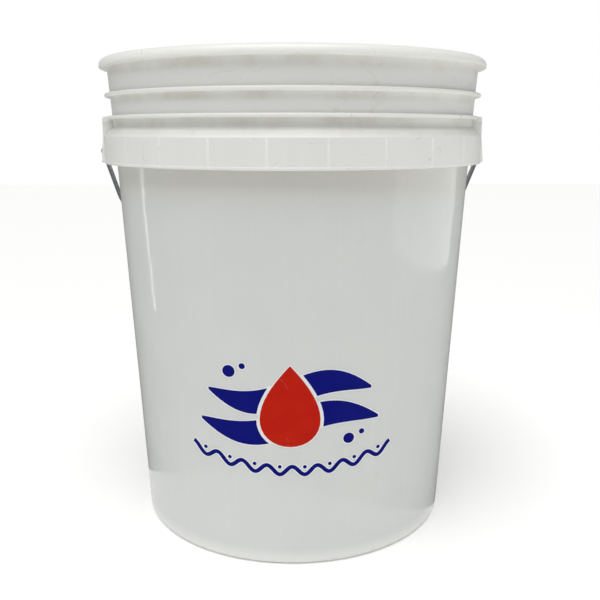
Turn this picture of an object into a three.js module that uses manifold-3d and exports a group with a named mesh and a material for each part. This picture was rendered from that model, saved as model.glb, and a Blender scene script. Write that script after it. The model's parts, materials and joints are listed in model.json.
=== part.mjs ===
// Wash bucket: an open-head pail of about 20 litres with a swinging wire bail and a roller grip.
// Millimetres, +Z up. The origin is the middle of the foot on the ground, and the front is -Y.
import * as THREE from "three";
import { mergeVertices } from "three/addons/utils/BufferGeometryUtils.js";
import Module from "manifold-3d";

const wasm = await Module();
wasm.setup();

// Pail: overall sizes
const height = 368; // ground to the top of the rim
const rimRadius = 151; // outside of the rim bead
const footRadius = 125.9; // outside of the tapered wall, carried down to the ground
const wall = 2.3; // thickness of the side wall
const floorThickness = 2.8;
const footHeight = 2.0; // the floor's underside clears the ground by this much
const footRingWidth = 11;
const footEdge = 4.5; // rounding outside the foot
const cornerRadius = 8; // rounding between floor and wall, inside

// Pail: rim bead, neck and ribs, each placed below the one before
const rimDepth = 6.7;
const rimOverhang = 6.1; // the bead stands this far outside the neck
const rimEdge = 5.2; // rounding of the bead's outer top edge
const rimInnerEdge = 1.5; // chamfer of its inner top edge
const upperRib = { below: 18.6, thick: 2.7, reach: 4.2 }; // below the rim bead
const lowerRib = { below: 13.9, thick: 2.4, reach: 4.0 }; // below the upper rib
const shoulderBelow = 5.9; // the skirt's bevel starts this far below the lower rib
const shoulderInset = 9; // the wall at the shoulder lies this far inside the bead

// Pail: skirt, the hollow band under the ribs, which is open below
const bevelHeight = 6.7;
const skirtHeight = 20.7;
const skirtInset = 1.4; // the skirt's face lies this far inside the bead
const skirtWall = 2.2;
const gussetCount = 24;
const gussetThick = 1.8;
const gussetLift = 2.0; // the gussets stop this far above the skirt's lower lip

// Ears, one at each side, each a boxed boss on the skirt with a hole for the bail
const earStandOff = 2.7; // the ear's face stands this far outside the skirt at its lower edge
const earLean = 2.1; // and leans in by this much up to the skirt's top edge
const earHalfWidth = 18.5;
const earPlate = 2.8; // thickness of the plate that holds the bail, at the bail's axis
const earSide = 2.4;
const earEdge = 1.6;

// Bail and grip
const wireDiameter = 3.8;
const bendRatio = 1.6; // centre-line radius of the tight bends, in wire radii
const hookLength = 7.6; // the retaining hook inside the ear, measured from the bail's axis
const pinClearance = 0.6; // between the wire and the ear's hole, all round
const sideClearance = 0.5; // between the wire and the ear's faces
const rimClearance = 4.0; // between the grip and the rim as the bail swings over
const gripLength = 88;
const gripDiameter = 18.4;
const gripWaist = 0.9; // the grip's middle lies this much lower than its ends
const gripClearance = 0.4; // between the grip's bore and the wire
const gripEndGap = 1.5; // end play of the grip on the straight of the wire
const restGap = 0.4; // between the grip and the wall when the bail is down

// Decal: a thin sheet on the front of the wall
const decalThick = 0.35;
const decalGap = 0.3;
const decalLow = 70;
const decalHigh = 159;
const decalCentre = -3; // degrees from the front, positive towards +X
const decalHalf = 33.5; // degrees to each side of its centre

// Places that follow from the sizes
const rimUnder = height - rimDepth;
const upperRibTop = rimUnder - upperRib.below;
const lowerRibTop = upperRibTop - upperRib.thick - lowerRib.below;
const shoulder = lowerRibTop - lowerRib.thick - shoulderBelow;
const skirtTop = shoulder - bevelHeight;
const skirtBottom = skirtTop - skirtHeight;
const neckRadius = rimRadius - rimOverhang;
const shoulderRadius = rimRadius - shoulderInset;
const skirtRadius = rimRadius - skirtInset;
const floorTop = footHeight + floorThickness;
const earFace = skirtRadius + earStandOff;
const earUpperFace = earFace - earLean;
const earPlateFace = earFace - earLean / 2; // the face at the bail's axis
const earTop = lowerRibTop;
const pivotHeight = skirtBottom + skirtHeight / 2; // the middle of the ear's plate
const wireRadius = wireDiameter / 2;
const bendRadius = bendRatio * wireRadius;
const gripRadius = gripDiameter / 2;

// Facets round each turned piece
const pailFacets = 72;
const gripFacets = 24;
const wireFacets = 10;

// Outside radius of the pail's wall at a height.
function wallRadius(z) {
  if (z <= shoulder) {
    return THREE.MathUtils.lerp(footRadius, shoulderRadius, z / shoulder);
  }
  return THREE.MathUtils.lerp(shoulderRadius, neckRadius, (z - shoulder) / (rimUnder - shoulder));
}

// Points of an arc about (x, y), from one angle to another in degrees.
function arc(x, y, radius, from, to, steps) {
  return Array.from({ length: steps + 1 }, (_, i) => {
    const a = THREE.MathUtils.degToRad(THREE.MathUtils.lerp(from, to, i / steps));
    return [x + radius * Math.cos(a), y + radius * Math.sin(a)];
  });
}

// A geometry as a manifold solid, with the empty triangles at a turned piece's poles left out.
function solid(geometry) {
  const plain = geometry.clone();
  plain.deleteAttribute("normal");
  plain.deleteAttribute("uv");
  const merged = mergeVertices(plain, 1e-4);
  const kept = [];
  for (let i = 0; i < merged.index.count; i += 3) {
    const [a, b, c] = [0, 1, 2].map((k) => merged.index.getX(i + k));
    if (a !== b && b !== c && c !== a) kept.push(a, b, c);
  }
  return new wasm.Manifold(
    new wasm.Mesh({
      numProp: 3,
      vertProperties: new Float32Array(merged.attributes.position.array),
      triVerts: new Uint32Array(kept),
    }),
  );
}

function geometryOf(manifold) {
  const mesh = manifold.getMesh();
  const geometry = new THREE.BufferGeometry();
  geometry.setAttribute("position", new THREE.BufferAttribute(mesh.vertProperties, 3));
  geometry.setIndex(new THREE.BufferAttribute(mesh.triVerts, 1));
  geometry.computeVertexNormals();
  return geometry;
}

// A solid turned about the Z axis from [radius, height] points, listed upwards on the outside.
function turned(points, facets) {
  const profile = points.map(([r, z]) => new THREE.Vector2(r, z));
  return new THREE.LatheGeometry(profile, facets).rotateX(Math.PI / 2);
}

function block(x0, x1, y0, y1, z0, z1) {
  const box = new THREE.BoxGeometry(x1 - x0, y1 - y0, z1 - z0);
  return box.translate((x0 + x1) / 2, (y0 + y1) / 2, (z0 + z1) / 2);
}

// The [radius, height] points of one rib, from its lower root to its upper root.
function ribProfile(top, { thick, reach }) {
  const low = top - thick;
  const edge = thick * 0.3;
  const tip = wallRadius(top) + reach;
  return [
    [wallRadius(low), low],
    [tip - edge, low],
    [tip, low + edge],
    [tip, top - edge],
    [tip - edge, top],
    [wallRadius(top), top],
  ];
}

// Everything outside the pail's inner wall, with the skirt still filled in.
function pailOutside() {
  const edgeRadius = wallRadius(footEdge);
  const foot = arc(edgeRadius - footEdge, footEdge, footEdge, -90, 0, 4);
  const bead = arc(rimRadius - rimEdge, height - rimEdge, rimEdge, 0, 90, 5);
  return turned(
    [
      [0, 0],
      ...foot,
      [wallRadius(skirtBottom), skirtBottom],
      [skirtRadius, skirtBottom],
      [skirtRadius, skirtTop],
      [shoulderRadius, shoulder],
      ...ribProfile(lowerRibTop, lowerRib),
      ...ribProfile(upperRibTop, upperRib),
      [neckRadius, rimUnder],
      [rimRadius, rimUnder],
      ...bead,
      [0, height],
    ],
    pailFacets,
  );
}

// The space inside the pail, which runs a little past the rim.
function pailInside() {
  const lip = neckRadius - wall;
  const cornerX = wallRadius(floorTop + cornerRadius) - wall - cornerRadius;
  const corner = arc(cornerX, floorTop + cornerRadius, cornerRadius, -90, 0, 5);
  const over = 5;
  return turned(
    [
      [0, floorTop],
      ...corner,
      [wallRadius(shoulder) - wall, shoulder],
      [lip, height - rimInnerEdge],
      [lip + rimInnerEdge, height],
      [lip + rimInnerEdge, height + over],
      [0, height + over],
    ],
    pailFacets,
  );
}

// The recess under the floor, inside the foot ring.
function footRecess() {
  const radius = wallRadius(0) - footEdge - footRingWidth;
  const below = -5;
  return turned(
    [
      [0, below],
      [radius, below],
      [radius, 0],
      [radius - footHeight, footHeight],
      [0, footHeight],
    ],
    pailFacets,
  );
}

// The pail's wall as a full solid, which the skirt's hollow must not cut.
function wallCore() {
  return turned(
    [
      [0, 0],
      [wallRadius(0), 0],
      [shoulderRadius, shoulder],
      [neckRadius, rimUnder],
      [0, rimUnder],
    ],
    pailFacets,
  );
}

// The hollow ring behind the skirt, before the gussets divide it.
function skirtHollow() {
  const inner = skirtRadius - skirtWall;
  const root = shoulderRadius - wall;
  const below = skirtBottom - 5;
  const bevel = (skirtRadius - shoulderRadius) / (shoulder - skirtTop);
  const ceiling = skirtTop - skirtWall * 0.5;
  const ceilingAtRoot = ceiling + (inner - root) / bevel;
  return turned(
    [
      [root, below],
      [inner, below],
      [inner, ceiling],
      [root, ceilingAtRoot],
      [root, below],
    ],
    pailFacets,
  );
}

// One radial gusset behind the skirt. The ears stand midway between two of them.
function gusset(index) {
  const web = block(
    shoulderRadius - 2 * wall,
    skirtRadius,
    -gussetThick / 2,
    gussetThick / 2,
    skirtBottom + gussetLift,
    shoulder,
  );
  return web.rotateZ(((index + 0.5) * 2 * Math.PI) / gussetCount);
}

// The boss of one ear on the +X side: a rounded outline in X and Z, drawn along Y.
function earBoss() {
  const root = wallRadius(skirtBottom) - wall / 2;
  const outline = new THREE.Shape([
    new THREE.Vector2(root, skirtBottom),
    ...arc(earFace - earEdge, skirtBottom + earEdge, earEdge, -90, 0, 3).map(toVector),
    new THREE.Vector2(earUpperFace, skirtTop),
    ...arc(earUpperFace - earEdge, earTop - earEdge, earEdge, 0, 90, 3).map(toVector),
    new THREE.Vector2(root, earTop),
  ]);
  const extrusion = new THREE.ExtrudeGeometry(outline, { depth: 2 * earHalfWidth, bevelEnabled: false });
  return extrusion.rotateX(Math.PI / 2).translate(0, earHalfWidth, 0);
}

function toVector([x, y]) {
  return new THREE.Vector2(x, y);
}

// The hollow inside one ear on the +X side, open below, where the bail's hook turns.
function earHollow() {
  return block(
    wallRadius(skirtBottom) - wall,
    earPlateFace - earPlate,
    -(earHalfWidth - earSide),
    earHalfWidth - earSide,
    skirtBottom - 5,
    earTop - earSide,
  );
}

// The hole through one ear's plate on the +X side.
function earHole() {
  const bore = new THREE.CylinderGeometry(
    wireRadius + pinClearance,
    wireRadius + pinClearance,
    4 * earPlate,
    20,
  );
  return bore.rotateZ(Math.PI / 2).translate(earFace, 0, pivotHeight);
}

// A shape made for the +X ear, given for both ears.
function onBothSides(make) {
  return [make(), make().rotateZ(Math.PI)].map(solid);
}

function pailBody() {
  let hollow = solid(skirtHollow());
  for (let i = 0; i < gussetCount; i += 1) {
    hollow = hollow.subtract(solid(gusset(i)));
  }
  for (const space of onBothSides(earHollow)) hollow = hollow.add(space);
  hollow = hollow.subtract(solid(wallCore()));

  let body = solid(pailOutside());
  for (const boss of onBothSides(earBoss)) body = body.add(boss);
  body = body.subtract(hollow);
  body = body.subtract(solid(pailInside()));
  body = body.subtract(solid(footRecess()));
  for (const hole of onBothSides(earHole)) body = body.subtract(hole);
  return geometryOf(body);
}

// The bail lies in one plane through its axis: x along the axis, d away from it.
const legX = earFace + sideClearance + wireRadius;
const hookX = earPlateFace - earPlate - sideClearance - wireRadius;
const rimReach = Math.hypot(rimRadius, height - pivotHeight);
const bailDepth = rimReach + rimClearance + gripRadius;
const gripHalf = gripLength / 2 + gripEndGap;
const crownRadius = legX - gripHalf;

// The bail's angle behind straight down, where the grip's waist meets the wall.
function restAngle() {
  const slope = (shoulderRadius - footRadius) / shoulder;
  const lean = Math.atan(slope);
  const standOff = gripRadius - gripWaist + restGap;
  const reach = footRadius + slope * pivotHeight + standOff / Math.cos(lean);
  return Math.asin((reach * Math.cos(lean)) / bailDepth) - lean;
}

// A line through chosen points, with its knots just at those points.
class KnotLine extends THREE.Curve {
  constructor(points) {
    super();
    this.points = points;
  }
  getUtoTmapping(u) {
    return u;
  }
  getPoint(t) {
    const along = THREE.MathUtils.clamp(t, 0, 1) * (this.points.length - 1);
    const i = Math.min(Math.floor(along), this.points.length - 2);
    return this.points[i].clone().lerp(this.points[i + 1], along - i);
  }
}

// Half of the bail's centre line as [x, d], from its hook's end to the middle of the grip.
function bailHalf() {
  const straight = (from, to, steps) =>
    Array.from({ length: steps }, (_, i) => [
      THREE.MathUtils.lerp(from[0], to[0], (i + 1) / (steps + 1)),
      THREE.MathUtils.lerp(from[1], to[1], (i + 1) / (steps + 1)),
    ]);
  const hook = arc(hookX + bendRadius, -bendRadius, bendRadius, 180, 90, 4);
  const knee = arc(legX - bendRadius, bendRadius, bendRadius, -90, 0, 4);
  const crown = arc(gripHalf, bailDepth - crownRadius, crownRadius, 0, 90, 14);
  return [
    [hookX, -hookLength],
    ...hook,
    ...knee,
    ...straight(knee.at(-1), crown[0], 2),
    ...crown,
    ...straight(crown.at(-1), [0, bailDepth], 2),
    [0, bailDepth],
  ];
}

function bailWire() {
  const half = bailHalf().map(([x, d]) => new THREE.Vector3(x, 0, -d));
  const other = half.slice(0, -1).reverse().map((p) => new THREE.Vector3(-p.x, 0, p.z));
  const line = new KnotLine([...half, ...other]);
  const section = new THREE.Shape(arc(0, 0, wireRadius, 0, 360, wireFacets).slice(0, -1).map(toVector));
  return new THREE.ExtrudeGeometry(section, { steps: line.points.length - 1, extrudePath: line });
}

// The grip turned about its own axis, which lies along X.
function bailGrip() {
  const half = gripLength / 2;
  const bore = wireRadius + gripClearance;
  const waist = gripRadius - gripWaist;
  const collar = 5;
  const edge = 1.2;
  const outer = [
    [bore, -half],
    [gripRadius - edge, -half],
    [gripRadius, -half + edge],
    [gripRadius, -half + collar],
    [waist, -half + collar + 2 * gripWaist],
    [waist, half - collar - 2 * gripWaist],
    [gripRadius, half - collar],
    [gripRadius, half - edge],
    [gripRadius - edge, half],
    [bore, half],
    [bore, -half],
  ];
  return turned(outer, gripFacets).rotateY(Math.PI / 2);
}

// The decal: a flat sheet wrapped onto the front of the tapered wall.
function frontDecal() {
  const width = THREE.MathUtils.degToRad(2 * decalHalf);
  const middle = THREE.MathUtils.degToRad(decalCentre);
  const sheet = new THREE.BoxGeometry(width, decalThick, decalHigh - decalLow, 16, 1, 1);
  const places = sheet.attributes.position;
  for (let i = 0; i < places.count; i += 1) {
    const angle = middle + places.getX(i);
    const z = (decalLow + decalHigh) / 2 + places.getZ(i);
    const r = wallRadius(z) + decalGap + decalThick / 2 - places.getY(i);
    places.setXYZ(i, r * Math.sin(angle), -r * Math.cos(angle), z);
  }
  return sheet;
}

function named(name, geometry, color, roughness, metalness) {
  const material = new THREE.MeshStandardMaterial({ color, roughness, metalness });
  const mesh = new THREE.Mesh(geometry, material);
  mesh.name = name;
  return mesh;
}

const bail = new THREE.Group();
bail.position.z = pivotHeight;
bail.rotation.x = restAngle();
bail.add(named("bail_wire", bailWire(), 0xa9abad, 0.35, 1.0));
const grip = named("bail_grip", bailGrip(), 0xdcdcd6, 0.45, 0.0);
grip.position.z = -bailDepth;
bail.add(grip);

const bucket = new THREE.Group();
bucket.add(named("pail_body", pailBody(), 0xd2d2cd, 0.35, 0.0));
bucket.add(named("front_decal", frontDecal(), 0x141f86, 0.4, 0.0));
bucket.add(bail);

export default bucket;
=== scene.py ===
"""A wash bucket: a 20 litre open-head pail in milky plastic, with a wire bail and a roller grip.

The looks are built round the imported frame, in metres, +Z up, front towards -Y.
"""
import json
import math

import bpy
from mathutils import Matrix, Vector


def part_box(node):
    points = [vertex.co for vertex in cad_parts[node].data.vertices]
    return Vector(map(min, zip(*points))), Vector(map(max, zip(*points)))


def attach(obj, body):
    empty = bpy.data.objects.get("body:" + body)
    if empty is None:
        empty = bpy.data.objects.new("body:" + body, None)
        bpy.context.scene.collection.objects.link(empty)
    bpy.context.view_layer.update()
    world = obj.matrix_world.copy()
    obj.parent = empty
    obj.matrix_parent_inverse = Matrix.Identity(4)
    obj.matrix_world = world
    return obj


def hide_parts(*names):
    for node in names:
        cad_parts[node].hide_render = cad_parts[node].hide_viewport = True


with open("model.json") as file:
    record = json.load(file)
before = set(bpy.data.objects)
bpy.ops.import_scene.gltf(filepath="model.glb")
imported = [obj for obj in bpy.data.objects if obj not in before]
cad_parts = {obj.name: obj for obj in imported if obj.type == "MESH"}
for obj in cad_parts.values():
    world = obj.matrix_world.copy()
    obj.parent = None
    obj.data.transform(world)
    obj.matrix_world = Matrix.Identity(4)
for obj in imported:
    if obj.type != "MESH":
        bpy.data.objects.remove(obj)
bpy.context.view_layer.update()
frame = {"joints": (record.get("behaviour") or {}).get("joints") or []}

# ---------------------------------------------------------------------------
# Camera: a short telephoto held at the height of the skirt, looking a little down on the pail.
# It stands one degree to the left of the front, because the pail is turned by that much.
# ---------------------------------------------------------------------------
MM = 0.001
camera_distance = 636 * MM
camera_height = 315.2 * MM
camera_turn = math.radians(-1.1)
camera_pitch = math.radians(12.53)
camera_pan = math.radians(0.51)

bpy.ops.object.camera_add(
    location=(
        camera_distance * math.sin(camera_turn),
        -camera_distance * math.cos(camera_turn),
        camera_height,
    ),
    rotation=(math.radians(90) - camera_pitch, 0, camera_turn - camera_pan),
)
camera = bpy.context.object
camera.data.sensor_width = 36
camera.data.lens = 45.72
bpy.context.scene.camera = camera
bpy.context.scene.view_settings.view_transform = "Standard"

# ---------------------------------------------------------------------------
# Pail: one injection moulding in natural HDPE. A profile is drawn and spun for the wall, floor,
# ribs, skirt and rim; the ears, the hollows behind them and the gussets are then joined and cut.
# ---------------------------------------------------------------------------
pail_low, pail_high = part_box("pail_body")
pail_height = pail_high.z
rim_radius = pail_high.y
ear_face = pail_high.x
foot_radius = 125.9 * MM
wall_thick = 2.3 * MM
floor_under = 2.0 * MM
floor_top = 4.8 * MM
rim_under = pail_height - 6.7 * MM
neck_radius = rim_radius - 6.1 * MM
shoulder_z = pail_height - 50.2 * MM
shoulder_radius = rim_radius - 9 * MM
skirt_radius = rim_radius - 1.4 * MM
skirt_top = shoulder_z - 6.7 * MM
skirt_bottom = skirt_top - 20.7 * MM
skirt_wall = 2.2 * MM
lower_rib_top = pail_height - 41.9 * MM
lower_rib_thick = 2.4 * MM
lower_rib_reach = 4.0 * MM
upper_rib_top = pail_height - 25.3 * MM
upper_rib_thick = 2.7 * MM
upper_rib_reach = 4.2 * MM
rib_root = 0.6 * MM
foot_rounding = 5.2 * MM
rim_rounding = 5.2 * MM
rim_inner_rounding = 1.6 * MM
floor_corner = 8 * MM
gusset_count = 24
gusset_thick = 1.8 * MM


def wall_radius(z):
    """Outside radius of the pail's wall at height z."""
    if z <= shoulder_z:
        return foot_radius + (shoulder_radius - foot_radius) * z / shoulder_z
    share = (z - shoulder_z) / (rim_under - shoulder_z)
    return shoulder_radius + (neck_radius - shoulder_radius) * share


def rounded(corners, steps=5):
    """An outline through (r, z, rounding) corners, each one turned into an arc of that radius."""
    line = []
    last = len(corners) - 1
    for i, (r, z, rounding) in enumerate(corners):
        if rounding == 0 or i in (0, last):
            line.append((r, z))
            continue
        back = (corners[i - 1][0] - r, corners[i - 1][1] - z)
        ahead = (corners[i + 1][0] - r, corners[i + 1][1] - z)
        back_length = math.hypot(*back)
        ahead_length = math.hypot(*ahead)
        back = (back[0] / back_length, back[1] / back_length)
        ahead = (ahead[0] / ahead_length, ahead[1] / ahead_length)
        half = math.acos(max(-1, min(1, back[0] * ahead[0] + back[1] * ahead[1]))) / 2
        cut = rounding / math.tan(half)
        middle = (back[0] + ahead[0], back[1] + ahead[1])
        scale = rounding / math.sin(half) / math.hypot(*middle)
        centre = (r + middle[0] * scale, z + middle[1] * scale)
        first = math.atan2(z + back[1] * cut - centre[1], r + back[0] * cut - centre[0])
        final = math.atan2(z + ahead[1] * cut - centre[1], r + ahead[0] * cut - centre[0])
        sweep = (final - first + math.pi) % (2 * math.pi) - math.pi
        for step in range(steps + 1):
            angle = first + sweep * step / steps
            along = (rounding * math.cos(angle), rounding * math.sin(angle))
            line.append((centre[0] + along[0], centre[1] + along[1]))
    return line


def start_point(name, place):
    """A new object in edit mode that holds one selected vertex."""
    bpy.ops.object.select_all(action="DESELECT")
    bpy.ops.mesh.primitive_plane_add(size=1 * MM)
    piece = bpy.context.object
    piece.name = name
    bpy.ops.object.mode_set(mode="EDIT")
    bpy.ops.mesh.select_mode(type="VERT")
    bpy.ops.mesh.select_all(action="SELECT")
    bpy.ops.mesh.merge(type="CENTER")
    bpy.ops.transform.translate(value=place)
    return piece


def draw_to(step):
    """Extrudes the selected vertex by a step."""
    bpy.ops.mesh.extrude_vertices_move(TRANSFORM_OT_translate={"value": step})


def close_up(piece, doubles=0.002 * MM):
    """Merges doubles, turns the faces outwards and leaves edit mode."""
    bpy.ops.mesh.select_all(action="SELECT")
    bpy.ops.mesh.remove_doubles(threshold=doubles)
    bpy.ops.mesh.normals_make_consistent(inside=False)
    bpy.ops.object.mode_set(mode="OBJECT")
    return piece


def spun(name, outline, steps):
    """A solid of an (r, z) outline spun about the Z axis."""
    piece = start_point(name, (outline[0][0], 0, outline[0][1]))
    for (r0, z0), (r1, z1) in zip(outline, outline[1:]):
        draw_to((r1 - r0, 0, z1 - z0))
    bpy.ops.mesh.select_all(action="SELECT")
    bpy.ops.mesh.spin(steps=steps, angle=math.tau, center=(0, 0, 0), axis=(0, 0, 1))
    return close_up(piece)


def cut_or_join(piece, tool, operation):
    """Joins a tool to a piece, or cuts it away, and removes the tool."""
    bpy.ops.object.select_all(action="DESELECT")
    piece.select_set(True)
    bpy.context.view_layer.objects.active = piece
    boolean = piece.modifiers.new("boolean", "BOOLEAN")
    boolean.operation = operation
    boolean.solver = "EXACT"
    boolean.object = tool
    bpy.ops.object.modifier_apply(modifier=boolean.name)
    bpy.data.objects.remove(tool)


def rib_corners(top, thick, reach):
    """Corners of a rib from its lower root to its upper root."""
    low = top - thick
    tip = wall_radius(top) + reach
    soft = 0.42 * thick
    return [
        (wall_radius(low), low, rib_root),
        (tip, low, soft),
        (tip, top, soft),
        (wall_radius(top), top, rib_root),
    ]


hollow_radius = skirt_radius - skirt_wall
hollow_ceiling = skirt_top - 0.5 * skirt_wall
bevel_slope = (shoulder_z - skirt_top) / (skirt_radius - shoulder_radius)
hollow_root_z = hollow_ceiling + (hollow_radius - wall_radius(hollow_ceiling)) * bevel_slope
lip_radius = skirt_radius + 0.35 * MM
lip_top = skirt_bottom + 1.5 * MM
foot_ring_inner = foot_radius - 15.5 * MM
inner_floor_radius = wall_radius(floor_top) - wall_thick
gate_radius = 4 * MM
gate_z = 1.1 * MM

pail = spun(
    "pail",
    rounded(
        [
            (0, gate_z, 0),
            (gate_radius, gate_z, 0.3 * MM),
            (gate_radius + 0.9 * MM, floor_under, 0.3 * MM),
            (foot_ring_inner - 2 * MM, floor_under, 0.6 * MM),
            (foot_ring_inner, 0, 0.8 * MM),
            (wall_radius(0), 0, foot_rounding),
            (wall_radius(skirt_bottom), skirt_bottom, 0),
            (wall_radius(hollow_root_z), hollow_root_z, 0.8 * MM),
            (hollow_radius, hollow_ceiling, 0.9 * MM),
            (hollow_radius, skirt_bottom, 0.6 * MM),
            (lip_radius, skirt_bottom, 0.7 * MM),
            (lip_radius, lip_top, 0.4 * MM),
            (skirt_radius, lip_top + 0.7 * MM, 0.5 * MM),
            (skirt_radius, skirt_top, 1.0 * MM),
            (shoulder_radius, shoulder_z, 1.2 * MM),
            *rib_corners(lower_rib_top, lower_rib_thick, lower_rib_reach),
            *rib_corners(upper_rib_top, upper_rib_thick, upper_rib_reach),
            (neck_radius, rim_under, 0.7 * MM),
            (rim_radius, rim_under, 0.9 * MM),
            (rim_radius, pail_height, rim_rounding),
            (neck_radius - wall_thick, pail_height, rim_inner_rounding),
            (shoulder_radius - wall_thick, shoulder_z, 0),
            (inner_floor_radius, floor_top, floor_corner),
            (0, floor_top, 0),
        ]
    ),
    steps=192,
)

# The ears: a boxed boss at each side, its face leaning in, hollow from below, bored for the bail.
ear_half = 18.5 * MM
ear_plate = 2.8 * MM
ear_lean = 2.1 * MM
ear_side = 2.4 * MM
ear_rounding = 1.0 * MM
root_radius = wall_radius(skirt_bottom) - wall_thick / 2
plate_face = ear_face - ear_lean / 2
core_low = skirt_bottom - 20 * MM
core_gap = 0.01 * MM
pivot = frame["joints"][0]["pos_m"]
bore_radius = 2.5 * MM


def block(name, low, high):
    """A box between two corners, with its place in its mesh."""
    bpy.ops.object.select_all(action="DESELECT")
    bpy.ops.mesh.primitive_cube_add(size=1)
    box = bpy.context.object
    box.name = name
    box.location = [(a + b) / 2 for a, b in zip(low, high)]
    box.scale = [b - a for a, b in zip(low, high)]
    bpy.ops.object.transform_apply(location=True, rotation=True, scale=True)
    return box


def prism(name, outline, near, far):
    """A solid of an (x, z) outline drawn at y = near and extruded to y = far."""
    piece = start_point(name, (outline[0][0], near, outline[0][1]))
    for (x0, z0), (x1, z1) in zip(outline, outline[1:]):
        draw_to((x1 - x0, 0, z1 - z0))
    bpy.ops.mesh.select_all(action="SELECT")
    bpy.ops.mesh.edge_face_add()
    bpy.ops.mesh.extrude_region_move(TRANSFORM_OT_translate={"value": (0, far - near, 0)})
    return close_up(piece)


def bevelled(piece, width, segments, keep):
    """Bevels the edges of a piece whose two ends both pass keep(place)."""
    bpy.ops.object.mode_set(mode="EDIT")
    bpy.ops.mesh.select_mode(type="EDGE")
    bpy.ops.mesh.select_all(action="DESELECT")
    bpy.ops.object.mode_set(mode="OBJECT")
    vertices = piece.data.vertices
    for edge in piece.data.edges:
        ends = [vertices[i].co for i in edge.vertices]
        edge.select = all(keep(place) for place in ends) and ends[0].y * ends[1].y > 0
    bpy.ops.object.mode_set(mode="EDIT")
    bpy.ops.mesh.bevel(offset=width, segments=segments, affect="EDGES", clamp_overlap=True)
    bpy.ops.object.mode_set(mode="OBJECT")
    return piece


ear_outline = rounded(
    [
        (root_radius, skirt_bottom, 0),
        (ear_face, skirt_bottom, 1.2 * MM),
        (ear_face - ear_lean, skirt_top, 0),
        (ear_face - ear_lean, lower_rib_top, 2.0 * MM),
        (root_radius, lower_rib_top, 0),
    ]
)
for side in (-1, 1):
    boss = prism("ear_boss", [(side * x, z) for x, z in ear_outline], -ear_half, ear_half)
    bevelled(boss, ear_rounding, 3, lambda place: abs(place.x) > root_radius + MM)
    cut_or_join(pail, boss, "UNION")

    reach = sorted((side * wall_radius(0), side * (plate_face - ear_plate)))
    hollow = block(
        "ear_hollow",
        (reach[0], -(ear_half - ear_side), skirt_bottom - 9 * MM),
        (reach[1], ear_half - ear_side, lower_rib_top - ear_side),
    )
    core = spun(
        "wall_core",
        [
            (0, core_low),
            (wall_radius(core_low) + core_gap, core_low),
            (shoulder_radius + core_gap, shoulder_z),
            (wall_radius(lower_rib_top) + core_gap, lower_rib_top),
            (0, lower_rib_top),
        ],
        steps=192,
    )
    cut_or_join(hollow, core, "DIFFERENCE")
    cut_or_join(pail, hollow, "DIFFERENCE")

    bpy.ops.object.select_all(action="DESELECT")
    bpy.ops.mesh.primitive_cylinder_add(
        vertices=32,
        radius=bore_radius,
        depth=4 * ear_plate,
        location=(side * ear_face, 0, pivot[2]),
        rotation=(0, math.radians(90), 0),
    )
    cut_or_join(pail, bpy.context.object, "DIFFERENCE")

# The gussets: thin radial webs that stiffen the skirt from behind. Each ear is midway between two.
gusset_low = skirt_bottom + 2 * MM
gusset_root_top = hollow_root_z + 1.0 * MM
gusset_tip_top = hollow_ceiling + 0.6 * MM
gusset = block(
    "gusset",
    (root_radius, -gusset_thick / 2, gusset_low),
    (skirt_radius - skirt_wall / 2, gusset_thick / 2, gusset_root_top),
)
bpy.ops.object.mode_set(mode="EDIT")
bpy.ops.mesh.select_all(action="DESELECT")
bpy.ops.object.mode_set(mode="OBJECT")
for vertex in gusset.data.vertices:
    vertex.select = vertex.co.x > hollow_radius and vertex.co.z > skirt_top
bpy.ops.object.mode_set(mode="EDIT")
bpy.ops.transform.translate(value=(0, 0, gusset_tip_top - gusset_root_top))
bpy.ops.mesh.select_all(action="SELECT")
bpy.ops.transform.rotate(
    value=math.pi / gusset_count, orient_axis="Z", center_override=(0, 0, 0)
)
bpy.ops.mesh.spin(
    steps=gusset_count - 1,
    angle=math.tau * (gusset_count - 1) / gusset_count,
    dupli=True,
    use_auto_merge=False,
    center=(0, 0, 0),
    axis=(0, 0, 1),
)
bpy.ops.object.mode_set(mode="OBJECT")
cut_or_join(pail, gusset, "UNION")
bpy.ops.object.shade_smooth_by_angle(angle=math.radians(32))


class Value:
    """A number that varies over a surface. Arithmetic on it adds Math nodes to its finish."""

    def __init__(self, finish, socket):
        self.finish = finish
        self.socket = socket

    def math(self, operation, *terms):
        """Adds one Math node on the given terms."""
        terms = dict(enumerate(terms))
        return self.finish.node("ShaderNodeMath", {"operation": operation}, terms)["Value"]

    def __add__(self, other):
        return self.math("ADD", self, other)

    def __radd__(self, other):
        return self.math("ADD", other, self)

    def __sub__(self, other):
        return self.math("SUBTRACT", self, other)

    def __rsub__(self, other):
        return self.math("SUBTRACT", other, self)

    def __mul__(self, other):
        return self.math("MULTIPLY", self, other)

    def __rmul__(self, other):
        return self.math("MULTIPLY", other, self)

    def __truediv__(self, other):
        return self.math("DIVIDE", self, other)

    def __rtruediv__(self, other):
        return self.math("DIVIDE", other, self)

    def __pow__(self, other):
        return self.math("POWER", self, other)

    def __abs__(self):
        return self.math("ABSOLUTE", self)

    def above(self, low, high):
        """0 below low, 1 above high and smooth between. With low over high it falls instead."""
        rising = low < high
        sockets = {
            "Value": self,
            "From Min": min(low, high),
            "From Max": max(low, high),
            "To Min": 0.0 if rising else 1.0,
            "To Max": 1.0 if rising else 0.0,
        }
        settings = {"interpolation_type": "SMOOTHSTEP"}
        return self.finish.node("ShaderNodeMapRange", settings, sockets)["Result"]

    def near(self, middle, half, soft):
        """1 within half of the middle, falling to 0 over the soft distance beyond."""
        return abs(self - middle).above(half + soft, half)


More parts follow.
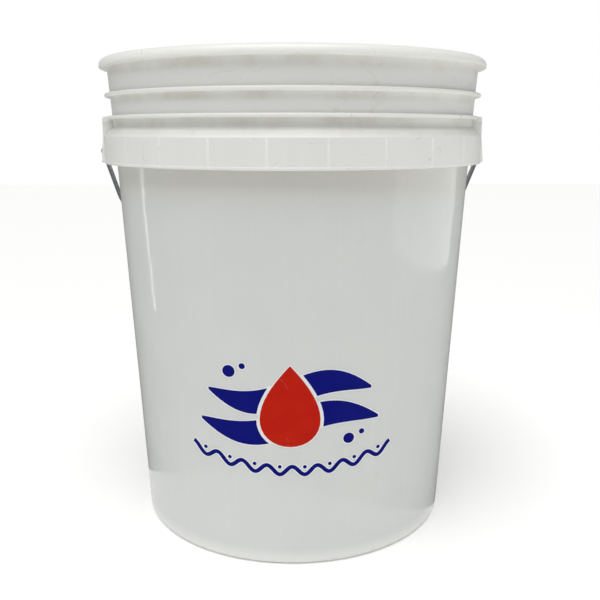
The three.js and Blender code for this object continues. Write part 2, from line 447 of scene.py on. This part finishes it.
class Finish:
    """A material on a Principled shader. Every node in it is added by node()."""

    def __init__(self, name, **constants):
        self.material = bpy.data.materials.new(name)
        self.material.use_nodes = True
        self.tree = self.material.node_tree
        self.shader = self.tree.nodes["Principled BSDF"]
        for socket, value in constants.items():
            self.shader.inputs[socket.replace("_", " ")].default_value = value
        self.place = self.node("ShaderNodeTexCoord", {}, {})["Object"]
        axes = self.node("ShaderNodeSeparateXYZ", {}, {"Vector": self.place})
        self.x, self.y, self.z = axes["X"], axes["Y"], axes["Z"]

    def node(self, kind, settings, sockets):
        """Adds a node with its settings, then fills its sockets. Gives its outputs by name."""
        made = self.tree.nodes.new(kind)
        for setting, value in settings.items():
            setattr(made, setting, value)
        for name, value in sockets.items():
            if isinstance(name, int):
                socket = made.inputs[name]
            else:
                socket = next(s for s in made.inputs if s.enabled and s.name == name)
            if isinstance(value, Value):
                self.tree.links.new(value.socket, socket)
            else:
                socket.default_value = value
        return {socket.name: Value(self, socket) for socket in made.outputs if socket.enabled}

    def stretched(self, x, y, z):
        """The place on the piece with each axis scaled, for a pattern that runs one way."""
        settings = {"operation": "MULTIPLY"}
        return self.node("ShaderNodeVectorMath", settings, {0: self.place, 1: (x, y, z)})["Vector"]

    def noise(self, scale, detail=2.0, place=None, roughness=0.5):
        """Noise between 0 and 1, with its middle at 0.5; the scale is in cycles per metre."""
        sockets = {"Vector": place or self.place, "Scale": scale, "Detail": detail}
        return self.node("ShaderNodeTexNoise", {}, {**sockets, "Roughness": roughness})["Fac"]

    def hairlines(self, scale, width, cover):
        """Fine curved scratches: the level lines of a slow noise, broken up by another one."""
        line = abs(self.noise(scale, 1.0) - 0.5).above(width, 0.2 * width)
        return line * self.noise(scale * 1.7, 2.0).above(cover, cover + 0.05)

    def blend(self, factor, first, second):
        """One colour going over into another."""
        sockets = {"Factor": factor, "A": first, "B": second}
        return self.node("ShaderNodeMix", {"data_type": "RGBA"}, sockets)["Result"]

    def bump(self, height, distance):
        """Relief: the height is in units of the distance."""
        sockets = {"Height": height, "Distance": distance, "Strength": 1.0}
        return self.node("ShaderNodeBump", {}, sockets)["Normal"]

    def set(self, **links):
        """Links what varies over the surface into the shader."""
        for name, value in links.items():
            self.tree.links.new(value.socket, self.shader.inputs[name.replace("_", " ")])


def display(red, green, blue):
    """A colour given as a display shows it, from 0 to 255, as the linear colour a shader takes."""
    return [*((max(0, level) / 255) ** 2.2 for level in (red, green, blue)), 1.0]


# Milky HDPE: cloudy in its depth, streaked where it flowed up the wall, with sink lines over the
# gussets, hair scratches, and warm dirt mixed with painted shade under the rim and in the roots of
# the ribs. It is glossier below the skirt than above it, where lids and hands have rubbed it.
hdpe = Finish(
    "milky_hdpe",
    Specular_IOR_Level=0.38,
    Subsurface_Weight=0.12,
    Subsurface_Scale=0.006,
)
hdpe.shader.inputs["Subsurface Radius"].default_value = (1.0, 0.95, 0.85)
out_from_axis = (hdpe.x * hdpe.x + hdpe.y * hdpe.y) ** 0.5
taper = (shoulder_radius - foot_radius) / shoulder_z
outside = (out_from_axis - hdpe.z * taper).above(foot_radius - 1.8 * MM, foot_radius - 0.8 * MM)
upper_part = hdpe.z.above(skirt_bottom - 1.0 * MM, skirt_bottom + 1.0 * MM) * outside
# Painted light: the rim and the outer parts of both ribs are painted paler, standing in for light
# shining through the thin plastic.
painted_edge_light = hdpe.z.above(rim_under - 0.5 * MM, rim_under + 0.5 * MM)
for rib_top, rib_thick in ((upper_rib_top, upper_rib_thick), (lower_rib_top, lower_rib_thick)):
    wall = wall_radius(rib_top)
    beyond_wall = out_from_axis.above(wall + 0.8 * MM, wall + 2.0 * MM)
    in_rib = hdpe.z.near(rib_top - rib_thick / 2, rib_thick, 0.5 * MM)
    painted_edge_light = painted_edge_light + in_rib * beyond_wall

# The gussets show through the skirt as pale lines, each fading towards the lip.
gussets_round = hdpe.x.math("ARCTAN2", hdpe.x, hdpe.y * -1) / math.tau * gusset_count + gusset_count
from_gusset = abs(gussets_round.math("FRACT", gussets_round) - 0.5)
on_skirt = hdpe.z.near((skirt_top + skirt_bottom) / 2, 9.6 * MM, 0.6 * MM)
on_skirt = on_skirt * out_from_axis.above(skirt_radius - 1.2 * MM, skirt_radius - 0.6 * MM)
fading = hdpe.z.above(skirt_bottom - 8 * MM, skirt_top) * hdpe.noise(22.0, 1.0).above(0.3, 0.6)
gusset_line = from_gusset.above(0.032, 0.006) * on_skirt * (0.25 + 0.75 * fading)

cloud = hdpe.noise(26.0, 3.0)
skirt_cloud = hdpe.noise(1.0, 2.0, hdpe.stretched(70.0, 70.0, 12.0)) * on_skirt
streaks = hdpe.noise(1.0, 3.0, hdpe.stretched(260.0, 260.0, 5.0)) * (1 - upper_part)
scratches = hdpe.hairlines(34.0, 0.0045, 0.55) * (0.3 + 0.7 * upper_part)
fine_scratches = hdpe.hairlines(90.0, 0.008, 0.6) * upper_part
# Painted shade and warm dirt: darker under the rim, under both ribs and below the bevel, partly
# even and partly broken up by a smudge noise.
dirt_and_shade = (
    hdpe.z.near(rim_under - 3 * MM, 1.0 * MM, 5.0 * MM)
    + hdpe.z.near(upper_rib_top - upper_rib_thick - 2 * MM, 1.0 * MM, 4.4 * MM)
    + hdpe.z.near(lower_rib_top - lower_rib_thick - 2 * MM, 1.0 * MM, 4.0 * MM)
    + hdpe.z.near(shoulder_z - 2.5 * MM, 1.2 * MM, 3.4 * MM) * 0.5
)
smudge = hdpe.noise(38.0, 5.0, roughness=0.62).above(0.36, 0.72)
wisps = abs(hdpe.noise(30.0, 3.0) - 0.5).above(0.03, 0.0)
wisps = wisps * hdpe.noise(19.0, 1.0).above(0.5, 0.62)
specks = hdpe.noise(420.0, 1.0).above(0.775, 0.80) * upper_part
# Painted light: the foot's rounding is painted paler, standing in for light from the floor entering
# the plastic.
painted_foot_light = hdpe.z.above(15 * MM, 3 * MM)
# Painted shade: a warm tint painted in the band just below the skirt, where the skirt's shadow
# falls.
painted_shade_below_skirt = hdpe.z.near(skirt_bottom - 7 * MM, 6 * MM, 16 * MM) * (1 - upper_part)

colour = hdpe.blend(cloud.above(0.3, 0.7) * 0.5, display(217, 219, 216), display(212, 215, 214))
colour = hdpe.blend(streaks.above(0.45, 0.75) * 0.12, colour, display(225, 227, 224))
colour = hdpe.blend(painted_shade_below_skirt * 0.5, colour, display(220, 217, 206))
colour = hdpe.blend(painted_foot_light * 0.5, colour, display(246, 246, 241))
# Painted light: above the skirt's lip the plastic is painted paler than the wall below, standing in
# for light on the neck, ribs and skirt.
colour = hdpe.blend(upper_part * 0.9, colour, display(232, 233, 229))
colour = hdpe.blend(skirt_cloud.above(0.35, 0.65) * 0.5, colour, display(234, 235, 229))
dirt_and_shade = dirt_and_shade * (0.25 + 0.75 * smudge) * outside
wisps = wisps * upper_part * (1 - on_skirt)
colour = hdpe.blend(dirt_and_shade * 0.65, colour, display(204, 199, 187))
colour = hdpe.blend(wisps * 0.22, colour, display(212, 205, 192))
colour = hdpe.blend(painted_edge_light * 0.6, colour, display(243, 243, 238))
colour = hdpe.blend(gusset_line * 0.6, colour, display(252, 252, 248))
colour = hdpe.blend((scratches + fine_scratches * 0.5) * 0.30, colour, display(176, 172, 162))
colour = hdpe.blend(specks * 0.35, colour, display(160, 155, 146))
gloss = 0.11 + upper_part * 0.26 + (hdpe.noise(70.0, 3.0) - 0.5) * 0.1 + scratches * 0.2
peel = hdpe.noise(420.0, 2.0) * 0.03 + hdpe.noise(16.0, 1.0) * 1.2 + hdpe.noise(60.0, 1.0) * 0.12
relief = peel - scratches * 0.05 - gusset_line * 0.05 + streaks * 0.02
hdpe.set(Base_Color=colour, Roughness=gloss, Normal=hdpe.bump(relief, 1.0 * MM))
pail.data.materials.append(hdpe.material)
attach(pail, "pail")
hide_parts("pail_body")

# ---------------------------------------------------------------------------
# Decal: a wordless print on thin vinyl film, stuck to the front of the wall. Two blue waves pass
# behind a red water drop, with bubbles, over one ripple; the inks lie on a wider pale underprint.
# ---------------------------------------------------------------------------
emblem_x = -5 * MM
ripple_x = -3.5 * MM


def circle(x, z, radius, steps=32):
    """The outline of a round dot."""
    turns = [math.tau * i / steps for i in range(steps)]
    return [(x + radius * math.cos(turn), z + radius * math.sin(turn)) for turn in turns]


def drop(x, low, width, height, steps=40):
    """The outline of a water drop that hangs from its point."""
    outline = []
    for i in range(steps):
        turn = math.tau * i / steps
        across = 0.65 * width * math.sin(turn) * math.sin(turn / 2)
        outline.append((x + across, low + height * (1 + math.cos(turn)) / 2))
    return outline


def wave(middle, half, thick, left=-1, right=1, steps=60):
    """The outline of a flying wave, thickest in its middle, between two shares of its length."""
    stations = [left + (right - left) * i / steps for i in range(steps + 1)]

    def edge(share, side):
        rise = 8 * MM * math.sin(math.pi * share) + side * thick / 2 * (1 - abs(share) ** 3)
        return (emblem_x + half * share, middle + rise)

    upper = [edge(share, 1) for share in stations if abs(share) < 0.999]
    lower = [edge(share, -1) for share in reversed(stations) if abs(share) < 0.999]
    return upper + lower


ripple_half = 72 * MM
ripple_waves = 8
ripple_rise = 3.2 * MM


def sagged(along):
    """Height of the ripple's middle line, from -1 at its left end to 1 at its right."""
    return 77.5 * MM + 12 * MM * along**2


def ripple(steps=20 * ripple_waves, stroke=3.0 * MM):
    """The outline of one long ripple that sags towards its middle."""
    line = []
    for i in range(steps + 1):
        along = 2 * i / steps - 1
        lift = ripple_rise * math.cos(math.pi * ripple_waves * (along + 1))
        line.append((ripple_x + ripple_half * along, sagged(along) + lift))
    sides = ([], [])
    for i, (x, z) in enumerate(line):
        before = line[max(0, i - 1)]
        after = line[min(steps, i + 1)]
        run = math.hypot(after[0] - before[0], after[1] - before[1])
        across = -(after[1] - before[1]) / run * stroke / 2
        up = (after[0] - before[0]) / run * stroke / 2
        sides[0].append((x + across, z + up))
        sides[1].append((x - across, z - up))
    return sides[0] + sides[1][::-1]


def ripple_dots(radius=1.4 * MM):
    """A small dot in each trough of the ripple."""
    dots = []
    for i in range(ripple_waves):
        along = (2 * i + 1) / ripple_waves - 1
        middle = (ripple_x + ripple_half * along, sagged(along) + 2.8 * MM)
        dots.append(circle(*middle, radius, steps=16))
    return dots


def grown(outline, by):
    """An outline moved outwards by a small distance."""
    ahead = outline[1:] + outline[:1]
    behind = outline[-1:] + outline[:-1]
    turn = math.copysign(1, sum(a[0] * b[1] - b[0] * a[1] for a, b in zip(outline, ahead)))
    moved = []
    for before, here, after in zip(behind, outline, ahead):
        along = (after[0] - before[0], after[1] - before[1])
        run = math.hypot(*along) or 1
        moved.append((here[0] + turn * along[1] / run * by, here[1] - turn * along[0] / run * by))
    return moved


def printed(name, outlines, under, thick, window=None):
    """A film of the given outlines, lying `under` off the wall, with a window cut out."""
    low = 60 * MM
    high = 170 * MM
    front = -150 * MM
    back = -60 * MM
    ring = [
        (wall_radius(low) + under, low),
        (wall_radius(low) + under + thick, low),
        (wall_radius(high) + under + thick, high),
        (wall_radius(high) + under, high),
        (wall_radius(low) + under, low),
    ]
    shapes = [prism(name, outline, front, back) for outline in outlines]
    for shape in shapes:
        shape.select_set(True)
    bpy.context.view_layer.objects.active = shapes[0]
    bpy.ops.object.join()
    if window:
        cutter = prism("window", window, front - 10 * MM, back + 10 * MM)
        cut_or_join(shapes[0], cutter, "DIFFERENCE")
    cut_or_join(shapes[0], spun("ink_layer", ring, steps=192), "INTERSECT")
    bpy.ops.object.mode_set(mode="EDIT")
    bpy.ops.mesh.select_all(action="SELECT")
    bpy.ops.mesh.dissolve_degenerate(threshold=0.001 * MM)
    bpy.ops.object.mode_set(mode="OBJECT")
    bpy.ops.object.shade_smooth_by_angle(angle=math.radians(32))
    return shapes[0]


waves = [wave(137 * MM, 60 * MM, 19 * MM), wave(113.5 * MM, 66 * MM, 20 * MM)]
bubbles = [
    circle(emblem_x - 43 * MM, 151 * MM, 4.4 * MM),
    circle(emblem_x - 33.5 * MM, 155.5 * MM, 2.2 * MM),
    circle(emblem_x + 42 * MM, 100.5 * MM, 4.0 * MM),
    circle(emblem_x + 51.5 * MM, 104.5 * MM, 2.0 * MM),
]
blue_shapes = [*waves, *bubbles, ripple(), *ripple_dots()]
red_drop = drop(emblem_x, 96 * MM, 43 * MM, 61 * MM)
film_under = 0.04 * MM
film_thick = 0.08 * MM
ink_under = film_under + film_thick
ink_thick = 0.1 * MM
film_margin = 0.8 * MM
underprint = printed(
    "decal_underprint",
    [grown(outline, film_margin) for outline in blue_shapes],
    film_under,
    film_thick,
    window=grown(red_drop, film_margin + 0.1 * MM),
)
blue_ink = printed(
    "decal_blue", blue_shapes, ink_under, ink_thick, window=grown(red_drop, 3 * film_margin)
)
drop_underprint = printed(
    "decal_drop_underprint", [grown(red_drop, film_margin)], film_under, film_thick
)
red_ink = printed("decal_red", [red_drop], ink_under, ink_thick)


def ink(name, shade, worn):
    """Printed vinyl: a soft gloss broken by the print's fine grain, with thin spots in the ink."""
    finish = Finish(name, Specular_IOR_Level=0.12)
    grain = finish.noise(900.0, 1.0)
    uneven = finish.noise(60.0, 3.0)
    scratch = finish.hairlines(28.0, 0.004, 0.6)
    colour = finish.blend(uneven.above(0.35, 0.7) * 0.4, shade, worn)
    colour = finish.blend(scratch * 0.15, colour, display(190, 190, 192))
    gloss = 0.32 + (uneven - 0.5) * 0.15 + scratch * 0.2
    relief = grain * 0.008 + finish.noise(16.0, 1.0) * 1.2 - scratch * 0.02
    finish.set(Base_Color=colour, Roughness=gloss, Normal=finish.bump(relief, 1.0 * MM))
    return finish.material


pale_ink = ink("pale_underprint", display(236, 237, 236), display(226, 228, 230))
for piece, material in (
    (underprint, pale_ink),
    (drop_underprint, pale_ink),
    (blue_ink, ink("blue_ink", display(0, 17, 116), display(2, 24, 124))),
    (red_ink, ink("red_ink", display(187, 28, 2), display(198, 38, 8))),
):
    piece.data.materials.append(material)
    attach(piece, "pail")
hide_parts("front_decal")

# ---------------------------------------------------------------------------
# Bail: 3.8 mm galvanised spring wire, bent cold. Each end passes through its ear and turns up
# inside, so that it can't pull out, and the grip rolls on the straight in the middle.
# ---------------------------------------------------------------------------
wire_radius = 1.9 * MM
bend_radius = 1.6 * wire_radius
hook_length = 7.6 * MM
side_gap = 0.5 * MM
grip_place = frame["joints"][1]["pos_m"]
bail_depth = math.hypot(grip_place[1] - pivot[1], grip_place[2] - pivot[2])
bail_angle = math.atan2(grip_place[1] - pivot[1], pivot[2] - grip_place[2])
leg_x = ear_face + side_gap + wire_radius
hook_x = plate_face - ear_plate - side_gap - wire_radius
grip_half = 44 * MM
crown_radius = leg_x - grip_half - 1.5 * MM

half_line = rounded(
    [
        (hook_x, hook_length, 0),
        (hook_x, 0, bend_radius),
        (leg_x, 0, bend_radius),
        (leg_x, -bail_depth, crown_radius),
        (0, -bail_depth, 0),
    ],
    steps=24,
)
bail_line = half_line + [(-x, z) for x, z in reversed(half_line[:-1])]
bail = start_point("bail_wire_bent", (bail_line[0][0], 0, bail_line[0][1]))
for (x0, z0), (x1, z1) in zip(bail_line, bail_line[1:]):
    draw_to((x1 - x0, 0, z1 - z0))
bpy.ops.object.mode_set(mode="OBJECT")
bpy.ops.object.convert(target="CURVE")
bail.data.bevel_depth = wire_radius
bail.data.bevel_resolution = 5
bail.data.use_fill_caps = True
bpy.ops.object.convert(target="MESH")
bail.rotation_euler = (bail_angle, 0, 0)
bail.location = pivot
bpy.ops.object.transform_apply(location=True, rotation=True, scale=True)
bpy.ops.object.mode_set(mode="EDIT")
close_up(bail)
bpy.ops.object.shade_smooth_by_angle(angle=math.radians(32))

# Galvanised steel: zinc spangle, dull where it has weathered, with fine lines drawn along the wire.
zinc = Finish("galvanised_wire", Metallic=1.0)
spangle = zinc.node("ShaderNodeTexVoronoi", {}, {"Vector": zinc.place, "Scale": 260.0})["Color"]
spangle = zinc.node("ShaderNodeSeparateColor", {}, {"Color": spangle})["Red"]
dulled = zinc.noise(35.0, 4.0).above(0.42, 0.66)
rubbed = zinc.noise(1.0, 2.0, zinc.stretched(900.0, 120.0, 120.0))
colour = zinc.blend(spangle * 0.5, display(186, 189, 192), display(158, 161, 165))
colour = zinc.blend(dulled * 0.5, colour, display(140, 141, 140))
gloss = 0.24 + spangle * 0.12 + dulled * 0.2 + (rubbed - 0.5) * 0.1
relief = rubbed * 0.03 + spangle * 0.02
zinc.set(Base_Color=colour, Roughness=gloss, Normal=zinc.bump(relief, 1.0 * MM))
bail.data.materials.append(zinc.material)
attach(bail, "bail")
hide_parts("bail_wire")

# ---------------------------------------------------------------------------
# Grip: a white polyethylene roller, moulded in one piece with a bore for the wire. Its waist is
# fluted between two plain collars, and the halves of its mould leave a fine line on each side.
# ---------------------------------------------------------------------------
grip_bore = 2.3 * MM
grip_radius = 9.2 * MM
grip_waist = grip_radius - 0.9 * MM
collar = 5 * MM
flute_count = 8

grip_profile = [
    (grip_bore, -grip_half, 0.5 * MM),
    (grip_radius, -grip_half, 1.4 * MM),
    (grip_radius, collar - grip_half, 0.6 * MM),
    (grip_waist, collar + 1.8 * MM - grip_half, 0.6 * MM),
]
grip_profile += [(radius, -z, edge) for radius, z, edge in reversed(grip_profile)]
grip_outline = rounded([(grip_bore, 0, 0), *grip_profile, (grip_bore, 0, 0)], steps=4)
grip = spun("grip_roller", grip_outline, steps=8 * flute_count)
bpy.ops.object.mode_set(mode="EDIT")
bpy.ops.mesh.select_mode(type="FACE")
bpy.ops.mesh.select_all(action="DESELECT")
bpy.ops.object.mode_set(mode="OBJECT")
for face in grip.data.polygons:
    middle = face.center
    share = (math.atan2(middle.y, middle.x) / math.tau * flute_count) % 1
    outer = math.hypot(middle.x, middle.y) > 0.8 * grip_waist
    face.select = outer and face.area > 10 * MM * MM and 0.25 < share < 0.75
bpy.ops.object.mode_set(mode="EDIT")
bpy.ops.mesh.inset(thickness=0.7 * MM, depth=-0.5 * MM)
bpy.ops.object.mode_set(mode="OBJECT")
grip.rotation_euler = (0, math.radians(90), 0)
grip.location = grip_place
bpy.ops.object.transform_apply(location=True, rotation=True, scale=True)
bpy.ops.object.shade_smooth_by_angle(angle=math.radians(32))

# White polyethylene: matt from handling on the collars, with grey rubbed into its waist.
roller = Finish("grip_white", IOR=1.52, Subsurface_Weight=0.1, Subsurface_Scale=0.004)
handled = roller.noise(90.0, 4.0).above(0.40, 0.70)
scuffs = roller.hairlines(120.0, 0.010, 0.52)
seam = abs(roller.y - grip_place[1]).above(0.35 * MM, 0.1 * MM)
colour = roller.blend(handled * 0.4, display(226, 226, 221), display(206, 203, 194))
colour = roller.blend(scuffs * 0.4, colour, display(150, 147, 140))
colour = roller.blend(seam * 0.35, colour, display(198, 197, 191))
gloss = 0.36 + handled * 0.16 + scuffs * 0.15
relief = roller.noise(700.0, 2.0) * 0.03 - scuffs * 0.05 + seam * 0.12
roller.set(Base_Color=colour, Roughness=gloss, Normal=roller.bump(relief, 1.0 * MM))
grip.data.materials.append(roller.material)
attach(grip, "grip")
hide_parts("bail_grip")

# ---------------------------------------------------------------------------
# Studio: a pale floor, a broad soft light overhead, a narrow strip close at the left for the long
# highlight on the wall, a low soft panel close at the right, and an even white room.
# ---------------------------------------------------------------------------
bpy.ops.object.select_all(action="DESELECT")
bpy.ops.mesh.primitive_plane_add(size=8)
floor = bpy.context.object
floor.name = "floor"
paper = Finish("floor_paper", Roughness=0.6, Emission_Strength=0.1)
fibre = paper.noise(30.0, 3.0)
paper.set(Base_Color=paper.blend(fibre * 0.3, display(247, 247, 246), display(244, 244, 243)))
floor.data.materials.append(paper.material)
floor.visible_glossy = False

# A white plate just under the floor is seen only in the pail's gloss, as a low arch round its foot.
bpy.ops.object.select_all(action="DESELECT")
bpy.ops.mesh.primitive_circle_add(
    vertices=96, radius=156 * MM, fill_type="NGON", location=(-30 * MM, -60 * MM, -2 * MM)
)
bpy.ops.object.transform_apply(location=True, rotation=True, scale=True)
plate = bpy.context.object
plate.name = "plate"
lit = Finish("lit_plate", Roughness=0.6, Emission_Strength=0.5)
plate.data.materials.append(lit.material)
plate.visible_camera = False
plate.visible_diffuse = False
plate.visible_shadow = False

# The room looks white behind the pail and lights it with a quarter of that.
room_light = 0.25
room = bpy.data.worlds.new("room")
room.use_nodes = True
bpy.context.scene.world = room
backdrop = room.node_tree.nodes["Background"]
backdrop.inputs["Color"].default_value = (1.0, 1.0, 1.0, 1.0)
rays = room.node_tree.nodes.new("ShaderNodeLightPath")
dimmed = room.node_tree.nodes.new("ShaderNodeMath")
dimmed.operation = "MULTIPLY_ADD"
dimmed.inputs[1].default_value = 1 - room_light
dimmed.inputs[2].default_value = room_light
room.node_tree.links.new(rays.outputs["Is Camera Ray"], dimmed.inputs[0])
room.node_tree.links.new(dimmed.outputs["Value"], backdrop.inputs["Strength"])

bpy.ops.object.light_add(type="SUN", rotation=(math.radians(17), math.radians(-7), 0))
overhead = bpy.context.object
overhead.name = "overhead_light"
overhead.data.energy = 2.6
overhead.data.angle = math.radians(55)


def softbox(name, place, aim, width, height, energy):
    """A rectangular area light that faces a point."""
    bpy.ops.object.light_add(type="AREA", location=place)
    light = bpy.context.object
    light.name = name
    light.data.shape = "RECTANGLE"
    light.data.size = width
    light.data.size_y = height
    light.data.energy = energy
    light.visible_camera = False
    facing = [a - b for a, b in zip(aim, place)]
    level = math.hypot(facing[0], facing[1])
    light.rotation_euler = (
        math.atan2(level, -facing[2]),
        0,
        math.atan2(facing[1], facing[0]) - math.radians(90),
    )


softbox("strip_light", (-0.578, 0.102, 0.15), (-0.11, -0.08, 0.15), 0.010, 0.24, 0.05)
softbox("window_light", (0.62, -0.02, 0.18), (0.1, 0, 0.2), 0.68, 0.2, 0.45)
